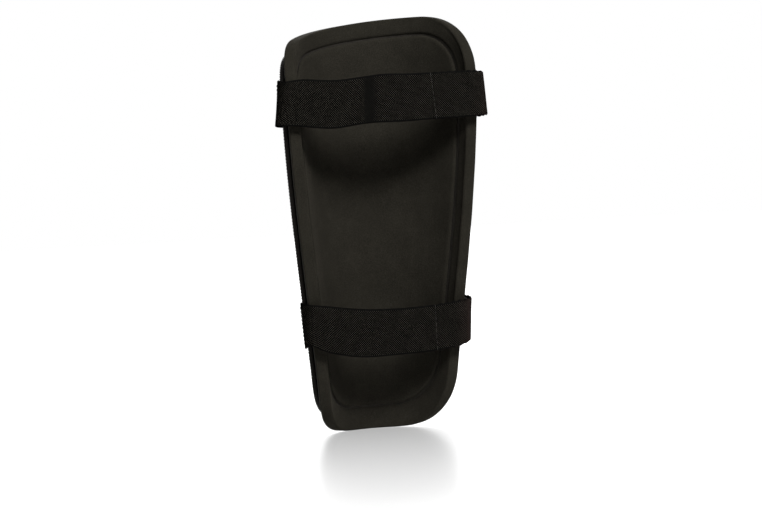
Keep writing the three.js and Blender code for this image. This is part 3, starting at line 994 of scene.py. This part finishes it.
EDGE_ROUND = 1.5          # how round the lined edge is
KNIT_THICK = 0.6
PILLOW_LOW = 1.5          # the pillow lies lower than its solid, pressed on the foam
GROOVE_DEPTH = 1.7        # of the pressed line round the pad
GROOVE_SPREAD = 1.4
EDGE_CREASE = (1.17, 0.315)   # depth of the crease just inside the left and the right edge
CREASE_INSET = 1.3
CREASE_SPREAD = 0.9
SIDES_START = (20, 90)    # heights between which the crease and the hollow begin
RIM_RINGS = 26
RIM_CROWN = 0.45          # how far the rim stands up between the pad and the edge
RIM_HOLLOW = 1.0          # how much lower it lies on the right side
COVER_START = 0.15        # from the pressed line to the cover's foot
COVER_LIP = 2.4           # width of the cover's steep lip beside the pressed line
COVER_FOOT = 0.9          # depth that the cover starts from
COVER_SLOPE = 15.0        # width of the gentle slope inside it
LIP_SHARE = 0.68          # of the pillow's rise, that the lip takes


def backing_loop(amount):
    return flat_loop(inset(amount))


def build_backing():
    """The foam, a little inside the lining that wraps its edge."""
    edge = KNIT_THICK + 0.1
    round_edge = EDGE_ROUND - KNIT_THICK
    leg_side = arc_steps((edge + round_edge, BACKING[0] + round_edge), round_edge, 270, 180, 6)
    back = arc_steps((edge + 1.4, BACKING[1] - 1.4), 1.4, 180, 90, 6)
    rings = profile_rings(backing_loop, [(9.0, BACKING[0])] + leg_side + back + [(9.0, BACKING[1])])
    foam = layer_object("foam_backing_body", rings)
    foam.data.materials.append(FOAM)
    return foam


def rim_rings(depth):
    """Rings of the lining over the rim, from the pressed line round the pad to the start of the
    round edge. Pulling the knit round the sides leaves a shallow crease on the left and a
    hollow on the right."""
    start = flat_loop(pad_outline(0.0))
    end = backing_loop(EDGE_ROUND)
    sides = outward(end)[:, 0] ** 2 * smooth(end[:, 1], *SIDES_START)
    on_left = end[:, 0] < 0
    crease_depth = np.where(on_left, *EDGE_CREASE) * sides
    crown_height = np.where(on_left, RIM_CROWN, RIM_CROWN - RIM_HOLLOW * sides)
    rings = []
    for share in (1 - np.cos(np.linspace(0, math.pi, RIM_RINGS)))[:-1] / 2:
        loop = start + (end - start) * share
        from_pad = np.linalg.norm(loop - start, axis=1)
        from_edge = np.linalg.norm(loop - end, axis=1)
        groove = np.exp(-(from_pad / GROOVE_SPREAD) ** 2)
        crease = crease_depth * np.exp(-((from_edge - CREASE_INSET) / CREASE_SPREAD) ** 2)
        crown = -crown_height * math.sin(math.pi * share) * (1 - groove)
        rings.append((loop, depth + GROOVE_DEPTH * groove + crease + crown, loop))
    return rings


def build_lining():
    """Knit stretched over the foam's leg side and wrapped round its edge."""
    def face(thick, depth):
        """Rings of one face of the knit, thick inside its outer face."""
        round_edge = EDGE_ROUND - thick
        centre = (EDGE_ROUND, EDGE_ROUND)
        steps = arc_steps(centre, round_edge, 270, 180, 7)
        steps += [(thick, d) for d in (3.6, 5.2, 6.4, BACKING[1] - 0.15)]
        edge = profile_rings(backing_loop, steps)
        inside = flat_loop(pad_outline(4.0))
        under = [(inside, depth + 0.35, inside)]
        return under + rim_rings(depth) + edge

    front = face(0.0, LINING[0])
    back = face(KNIT_THICK, KNIT_THICK)
    front = [(loop, depth + unevenness(on_wall(loop, 0), 17.0, 0.28, 1), cut)
             for loop, depth, cut in front]
    lining = layer_object("lining_knit", front + back[::-1])
    lining.data.materials.append(KNIT)
    return lining


def build_pad():
    """The foam pad and its knitted cover, a low pillow inside the pressed line."""
    def rise(amount):
        """How far the pillow has risen at a distance from its edge, up to 1."""
        lip = math.sqrt(1 - max(0.0, 1 - amount / COVER_LIP) ** 2)
        slope = math.sin(math.pi / 2 * min(1.0, amount / COVER_SLOPE))
        return LIP_SHARE * lip + (1 - LIP_SHARE) * slope

    def crowned(flat, depth, face):
        """The middle of the pillow stands a little proud. Its underside is plain."""
        if face == 1:
            return depth + 0 * flat[..., 0]
        rows = np.sin(np.linspace(0, math.pi, flat.shape[0] + 2))[1:-1, None]
        columns = np.sin(np.linspace(0, math.pi, flat.shape[1] + 2))[None, 1:-1]
        return depth - 0.5 * np.sqrt(rows * columns) + pillow_swell(on_wall(flat, 0))

    def pillow_swell(spots):
        return unevenness(spots, 26.0, 0.5, 2)

    def loop_in(amount):
        return flat_loop(pad_outline(amount))

    insets = [COVER_START + 18 * (1 - math.sin(a)) for a in np.linspace(0.08, math.pi / 2, 26)]

    def rings(thick, base):
        """Rings up the pillow from a depth, thick under the cover's face."""
        top = COVER_FACE + PILLOW_LOW + thick
        steps = [(a + thick, base - rise(a) * (base - top)) for a in insets]
        flat = profile_rings(loop_in, steps)
        out = []
        for loop, depth, cut in flat:
            spots = on_wall(loop, 0)
            fade = smooth(np.linalg.norm(loop - flat[-1][0], axis=1), 0.0, 6.0)
            out.append((loop, depth + fade * pillow_swell(spots), cut))
        return out

    front = rings(0.0, COVER_FOOT)
    back = rings(KNIT_THICK, COVER_FOOT)
    cover = layer_object("pad_cover_knit", front + back[::-1], crowned)
    cover.data.materials.append(KNIT)
    pad_front = rings(KNIT_THICK + 0.1, 0.5)
    bottom = [(loop_in(a), 0.1, loop_in(a)) for a in (1.6, 4.0, 12.0)]
    pad = layer_object("shin_pad_foam", pad_front + bottom, crowned)
    pad.data.materials.append(FOAM)
    return pad, cover


def shell_edge_angle(z):
    """Angle off the crest that tapes on the shell start from."""
    return WRAP - (SHELL_SIDE + GAP) / radius_at(z)


def rib_angle():
    """The ribs run beside the loop patches, clear of the one that reaches furthest."""
    angles = []
    for strap in STRAPS:
        for end in (-LOOP_WIDTH / 2, LOOP_WIDTH / 2):
            z = side_height(strap, RIGHT) + end
            angles.append(shell_edge_angle(z) - strap.loop_length / (radius_at(z) + LOOP[0]))
    return min(angles) - RIB_CLEARANCE - RIB_WIDTH / 2


RIB_ANGLE = rib_angle()
CHANNEL_INSET = 4.4       # of the sewn channel round the shell
CHANNEL_DEPTH = 0.55
CHANNEL_WIDTH = 3.0
OVERLOCK_INSET = 1.1      # of the overlocked edge's line
SUNK = 0.05               # how far a stitch is pulled into what it's sewn to


def bump_shape(distance, width):
    """A smooth swell: 1 in the middle, 0 from half its width on."""
    share = np.clip(np.abs(distance) / (width / 2), 0, 1)
    return 0.5 + 0.5 * np.cos(math.pi * share)


def shell_relief(flat):
    """Height of the moulded ridge and ribs."""
    angle = flat[..., 0] / radius_at(flat[..., 1])
    z = flat[..., 1]
    fade = smooth(np.minimum(z - SHELL_END, GUARD_HEIGHT - SHELL_END - z), 0, RELIEF_FADE)
    ribs = bump_shape(np.abs(angle) - RIB_ANGLE, RIB_WIDTH) * RIB_HEIGHT
    return fade * (bump_shape(angle, RIDGE_WIDTH) * RIDGE_HEIGHT + ribs)


def shell_loop(amount):
    return flat_loop(inset(SHELL_SIDE + amount, SHELL_END + amount))


def build_shell():
    """The hard shell: a ridge over the shin, two ribs and a sewn channel near its edge."""
    rim = 1.2
    inner = [(12.0, SHELL[0])] + arc_steps((0.5, SHELL[0] + 0.5), 0.5, 270, 180, 3)
    outer = arc_steps((rim, SHELL[1] - rim), rim, 180, 90, 7)
    channel = [(a, SHELL[1] - CHANNEL_DEPTH * float(bump_shape(a - CHANNEL_INSET, CHANNEL_WIDTH)))
               for a in np.linspace(2.6, 6.4, 13)]
    last = [(8.0, SHELL[1]), (12.0, SHELL[1])]
    rings = profile_rings(shell_loop, inner + outer + channel + last)
    shaped = []
    for place, (loop, depth, cut) in enumerate(rings):
        outside = place >= len(inner) + len(outer) - 2
        shaped.append((loop, depth + (shell_relief(loop) if outside else 0), cut))

    def relief(flat, depth, face):
        if face == 0:
            return SHELL[0] + 0 * flat[..., 0]
        return SHELL[1] + shell_relief(flat)

    shell = layer_object("shell_body", shaped, relief)
    shell.data.materials.append(PLASTIC)
    mark_wear(shell)
    return shell


def mark_wear(shell):
    """How far each point of the shell is rubbed: most on the ridge, less on the ribs."""
    places = places_of(shell)
    z = places[:, 2]
    radius = radius_at(z)
    angle = np.arctan2(places[:, 0], places[:, 1] - CREST_Y + radius)
    depth = np.hypot(places[:, 0], places[:, 1] - CREST_Y + radius) - radius
    ridge = smooth(depth - SHELL[1], 0.6, RIDGE_HEIGHT)
    ribs = smooth(depth - SHELL[1], 0.5, 1.5 * RIB_HEIGHT) * (np.abs(angle) > RIDGE_WIDTH / 2)
    mark_points(shell, "worn", np.maximum(ridge, 0.6 * ribs))


def wall_normals(angle):
    """Which way the wall faces outwards at angles off the crest."""
    return np.stack([np.sin(angle), np.cos(angle), 0 * angle], axis=-1)


def build_shell_stitches():
    """The lockstitch row in the shell's channel and the overlocked edge outside it."""
    def seam(name, line, depth, **looks):
        facing = wall_normals(line[:, 0] / radius_at(line[:, 1]))
        return stitched(name, on_wall(line, depth), facing, closed=True, **looks)

    channel = shell_loop(CHANNEL_INSET)
    bed = SHELL[1] - CHANNEL_DEPTH + shell_relief(channel) - SUNK
    row = seam("shell_stitches", channel, bed,
               pitch=3.4 * MM, stitch_length=2.7 * MM, rise=0.35 * MM, thread_radius=0.26 * MM)
    over = seam("shell_overlock", shell_loop(OVERLOCK_INSET), SHELL[1] - 0.25,
                pitch=2.1 * MM, stitch_length=2.6 * MM, rise=0.3 * MM, thread_radius=0.24 * MM,
                slant=math.radians(64))
    return joined("shell_stitching", row, over)


def build_guard():
    backing = build_backing()
    lining = build_lining()
    pad, cover = build_pad()
    shell = build_shell()
    stitching = build_shell_stitches()
    for piece, node, slot in (
            (backing, "foam_backing", "foam"), (lining, "backing_lining", "lining"),
            (pad, "shin_pad", "foam"), (cover, "pad_cover", "lining"), (shell, "hard_shell", "shell")):
        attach(piece, "guard")
        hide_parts(node)
    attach(stitching, "guard")
    backing_loop(0.0)
    flat_loop(pad_outline(COVER_START))


build_guard()

# ---------------------------------------------------------------------------
# Straps
# ---------------------------------------------------------------------------


PILE_MARGIN = 1.2         # plain edge of a tape beside its loops or hooks
LOOP_COUNT_ON_TAPE = 1500
HOOK_PITCH = 1.7
HOOK_GROUND = 0.6         # thickness of the woven ground under the hooks
PUCKER_REACH = 4.5        # each way from the pucker's middle
EDGE_WAVE = 0.22          # of the free end's handled edges
SEAM_LEAN = {"upper": 1.9, "lower": 0.6}      # of the stitches across each strap


def tape_points(ribbon, start, end, width, lift, pitch):
    """Places of a tape's fibres, in even staggered rows, and which way they face."""
    reach = np.arange(start + 1.0, end - 1.0, pitch)
    across = np.arange(-width / 2 + PILE_MARGIN, width / 2 - PILE_MARGIN, pitch)
    along, over = np.meshgrid(reach, across, indexing="ij")
    over = over + (np.arange(len(reach)) % 2)[:, None] * pitch / 2
    points, normals = ribbon.at(along, over / (STRAP_WIDTH / 2), lift)
    return points.reshape(-1, 3), -normals.reshape(-1, 3)


def across_line(ribbon, reach, lean, margin, lift):
    """A line of stitches across the strap."""
    share = np.linspace(-1 + margin, 1 - margin, 24)
    return ribbon.at(reach + lean * share, share, lift)


def box_line(ribbon, near, far, lift):
    """A ring of stitches inside the edges of a sewn end."""
    top = 1 - SEAM_MARGIN / (STRAP_WIDTH / 2)
    corners = [(near, -top), (far, -top), (far, top), (near, top)]
    points, facing = [], []
    for (a, v), (b, w) in zip(corners, corners[1:] + corners[:1]):
        t = np.linspace(0, 1, 16)[:-1]
        p, n = ribbon.at(a + (b - a) * t, v + (w - v) * t, lift)
        points.append(p)
        facing.append(n)
    return np.concatenate(points), np.concatenate(facing)


def fold_blend(piece):
    """Bakes a piece's placement into its mesh, so that it sits where it was built."""
    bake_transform(piece)


def build_loop_patch(strap):
    """The loop tape stuck and sewn on the shell: a thin slab with a fuzzy pile."""
    z = side_height(strap, RIGHT)
    columns = np.linspace(0, strap.loop_length, 34)
    rows = np.linspace(-LOOP_WIDTH / 2, LOOP_WIDTH / 2, 24)
    back, up = np.meshgrid(columns, rows, indexing="ij")
    from_edge = np.minimum(np.minimum(back, strap.loop_length - back), LOOP_WIDTH / 2 - np.abs(up))
    full = np.sqrt(1 - np.clip(1 - from_edge / 0.9, 0, 1) ** 2)
    height = z + up
    angle = shell_edge_angle(height) - back / (radius_at(height) + LOOP[0])
    top = LOOP[0] + 0.25 + (LOOP[1] - LOOP[0] - 0.35) * full
    outer = wall(angle, height, top)
    inner = wall(angle, height, SHELL[1] + 0.05)
    count = len(columns) * len(rows)
    index = np.arange(count).reshape(len(columns), len(rows))
    quads = np.stack([index[:-1, :-1], index[1:, :-1], index[1:, 1:], index[:-1, 1:]], axis=-1)
    quads = quads.reshape(-1, 4)
    faces = quads.tolist() + (quads[:, ::-1] + count).tolist()
    rim = np.concatenate([index[0, :-1], index[:-1, -1], index[-1, :0:-1], index[:0:-1, 0]])
    ahead = np.roll(rim, -1)
    faces += np.stack([rim, ahead, ahead + count, rim + count], axis=-1).tolist()
    points = np.concatenate([outer.reshape(-1, 3), inner.reshape(-1, 3)])
    cut = np.stack([back, up], axis=-1).reshape(-1, 2)
    slab = mesh_object(strap.name + "_loop_tape", points, outward_faces(points, faces),
                       np.concatenate([cut, cut]))
    slab.data.materials.append(PILE)
    low = (PILE_MARGIN, -LOOP_WIDTH / 2 + PILE_MARGIN)
    high = (strap.loop_length - PILE_MARGIN, LOOP_WIDTH / 2 - PILE_MARGIN)
    spots = np.random.default_rng(11).uniform(low, high, (LOOP_COUNT_ON_TAPE, 2))
    height = z + spots[:, 1]
    angle = shell_edge_angle(height) - spots[:, 0] / (radius_at(height) + LOOP[0])
    places = wall(angle, height, LOOP[1] - 0.5)
    pile = grown(strap.name + " loops", places, wall_normals(angle), TAPE_PILE,
                 width=0.9 * MM, rise=0.42 * MM, tip=0.1 * MM, thread_radius=0.06 * MM,
                 turn=math.pi, seed=3, fibre=PILE)
    return joined(strap.name + "_loop_tape", slab, pile)


def build_hook_tape(ribbon, start, end):
    """The hook tape sewn behind the strap, with its rows of hooks."""
    strap = ribbon.strap
    middle = -ELASTIC / 2 - GAP / 2 - HOOK_GROUND / 2
    tape = band_object(strap.name + "_hook_ground", ribbon, start, end, HOOK_WIDTH, middle, HOOK_GROUND)
    tape.data.materials.append(HOOKS)
    lift = middle - HOOK_GROUND / 2 + SUNK
    points, facing = tape_points(ribbon, start, end, HOOK_WIDTH, lift, HOOK_PITCH)
    hooks = grown(strap.name + " hooks", points, facing, TAPE_PILE, width=0.8 * MM, rise=0.42 * MM,
                  tip=0.3 * MM, thread_radius=0.12 * MM, turn=0.35, seed=5, fibre=HOOKS)
    return joined(strap.name + "_hook_tape", tape, hooks)


def mark_pucker_shade(piece, crease):
    """Where the slack has gathered: painted shade that dims the weave's painted highlight, as if its
    floats were turned from the light.
    """
    if crease is None:
        return
    places = places_of(piece)
    front = places[:, 1] < places[:, 1].min() + 10
    near = np.exp(-((places[:, 0] - crease) / PUCKER_REACH) ** 4)
    mark_points(piece, "pucker_shade", near * front)


def mark_parted_and_highlit(piece, amount):
    """Where the strap turns round the right side of the wall and its threads part: a pale band, also a
    painted highlight along the fold.
    """
    places = places_of(piece)
    turned = np.array([v.normal.x for v in piece.data.vertices])
    at_fold = 1 - smooth(places[:, 1] - strap_plane(places[:, 2]), 3.0, 6.0)
    near = at_fold * smooth(turned, 0.12, 0.3) * (1 - smooth(turned, 0.9, 0.98))
    mark_points(piece, "parted", amount * near)


def build_strap(strap):
    """One strap: its woven band in two lengths, its tapes and its three rows of stitches."""
    name = strap.name
    ribbon = Ribbon(strap)
    seam = ribbon.reach_at_x(strap.seam_x)
    sewn = band_object(name + "_elastic_left", ribbon, 0.0, seam, STRAP_WIDTH, 0.0, ELASTIC,
                       (True, False))
    free = band_object(name + "_elastic_right", ribbon, seam, ribbon.length, STRAP_WIDTH, 0.0, ELASTIC,
                       (False, True), wave=EDGE_WAVE)
    hook = build_hook_tape(ribbon, seam - 0.8, ribbon.length - 2.0)
    loop = build_loop_patch(strap)
    lift = ELASTIC / 2
    line = across_line(ribbon, seam, -SEAM_LEAN[name], 0.1, lift - 0.12)
    row = stitched(name + "_hook_stitches", *line,
                   pitch=3.7 * MM, stitch_length=2.3 * MM, thread_radius=0.17 * MM)
    anchor_box = stitched(name + "_anchor_stitches", *box_line(ribbon, 3.5, 19.0, lift), closed=True)
    far = ribbon.length - SEAM_MARGIN
    tab_box = stitched(name + "_tab_stitches", *box_line(ribbon, far - 17.0, far, lift), closed=True)
    sewn.data.materials.append(WOVEN)
    mark_pucker_shade(sewn, LIES[name].crease)
    free.data.materials.append(WOVEN)
    mark_parted_and_highlit(free, LIES[name].parted)
    fold_blend(sewn)
    fold_blend(free)
    fold_blend(hook)
    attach(loop, "guard")
    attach(row, name + "_strap")
    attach(anchor_box, "guard")
    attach(tab_box, name + "_tab")
    for piece, slot, nodes in (
            (sewn, "elastic", ("_strap_anchor", "_strap_band")), (free, "elastic", ("_strap_tab",)),
            (hook, "hook", ("_hook_front", "_hook_patch")), (loop, "loop", ("_loop_patch",)),
            (row, "thread", ("_band_seam",)), (anchor_box, "thread", ("_anchor_seam",)),
            (tab_box, "thread", ("_tab_seam",))):
        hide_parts(*(name + node for node in nodes))


for each_strap in STRAPS:
    build_strap(each_strap)

# ---------------------------------------------------------------------------
# Floor, world and light
# ---------------------------------------------------------------------------


WHITE = (1, 1, 1, 1)


def show_white(tree):
    """1 for the rays that see the background: camera, glossy and transmission rays."""
    path = add_node(tree, "ShaderNodeLightPath").outputs
    seen = math_node(tree, "MAXIMUM", path["Is Camera Ray"], path["Is Glossy Ray"])
    return math_node(tree, "MAXIMUM", seen, path["Is Transmission Ray"])


def light_world(strength):
    """A faint even light, seen as plain white."""
    world = bpy.data.worlds.new("studio")
    bpy.context.scene.world = world
    world.use_nodes = True
    tree = world.node_tree
    tree.nodes.clear()
    plain = add_node(tree, "ShaderNodeBackground", {"Color": WHITE, "Strength": strength})
    seen = add_node(tree, "ShaderNodeBackground", {"Color": WHITE, "Strength": 1.0})
    mix = add_node(tree, "ShaderNodeMixShader", {
        0: show_white(tree), 1: plain.outputs[0], 2: seen.outputs[0]})
    add_node(tree, "ShaderNodeOutputWorld", {"Surface": mix.outputs[0]})


def glossy_white_floor():
    """Satin white acrylic sheet: white, with a soft reflection that fades with distance. Its white
    is a glow seen by camera, glossy and transmission rays, weaker near the object's foot as painted
    shade.
    """
    material, tree = new_material("satin white acrylic sheet")
    matt = add_node(tree, "ShaderNodeBsdfDiffuse", {"Color": linear("#5c5c5c")})
    place = object_place(tree)
    away = add_node(tree, "ShaderNodeVectorMath", {0: place}, operation="LENGTH").outputs["Value"]
    far = add_node(tree, "ShaderNodeMapRange", {
        "Value": away, "From Min": 0.0, "From Max": 0.42}).outputs["Result"]
    # The glow seen by the camera is painted weaker near the object's foot, a painted shade that deepens
    # the reflection there; further out it keeps the floor white.
    level = math_node(tree, "MULTIPLY_ADD", far, 1.1, 0.79)
    lift = add_node(tree, "ShaderNodeEmission", {"Color": WHITE, "Strength": level})
    dark = add_node(tree, "ShaderNodeEmission", {"Color": (0, 0, 0, 1), "Strength": 0.0})
    shown = add_node(tree, "ShaderNodeMixShader", {
        0: show_white(tree), 1: dark.outputs[0], 2: lift.outputs[0]})
    body = add_node(tree, "ShaderNodeAddShader", {0: matt.outputs[0], 1: shown.outputs[0]})
    gloss = add_node(tree, "ShaderNodeBsdfGlossy", {"Color": WHITE, "Roughness": 0.22})
    mix = add_node(tree, "ShaderNodeMixShader", {0: 0.5, 1: body.outputs[0], 2: gloss.outputs[0]})
    add_node(tree, "ShaderNodeOutputMaterial", {"Surface": mix.outputs[0]})
    return material


def add_floor():
    size = 6000.0
    corners = [(-size, -size, 0), (size, -size, 0), (size, size, 0), (-size, size, 0)]
    floor = mesh_object("floor", np.array(corners, dtype=float), [(0, 1, 2, 3)])
    floor.location.z = float(cad_box[0][2]) - 0.0004
    floor.data.materials.append(glossy_white_floor())


def add_lamp(name, place, target, size, power):
    """A round soft lamp aimed at a target. Metres and watts."""
    lamp = add_object(name, bpy.data.lights.new(name, "AREA"))
    lamp.data.shape = "DISK"
    lamp.data.size = size
    lamp.data.energy = power
    lamp.location = place
    lamp.rotation_euler = (Vector(target) - Vector(place)).to_track_quat("-Z", "Y").to_euler()
    return lamp.data


def light_studio():
    """A large gridded lamp high in front, whose beam falls off towards the ankle, and a soft
    one behind."""
    light_world(0.034)
    middle = (Vector(cad_box[0]) + Vector(cad_box[1])) / 2
    key = add_lamp("key", middle + Vector((0.12, -1.48, 1.84)), middle + Vector((0, 0, 0.68)), 1.5, 8.7)
    key.spread = math.radians(34)
    add_lamp("back", middle + Vector((0.45, 1.15, 0.75)), middle, 0.7, 14.0)


add_floor()
light_studio()
bpy.context.scene.view_settings.view_transform = "Standard"

bpy.context.view_layer.update()
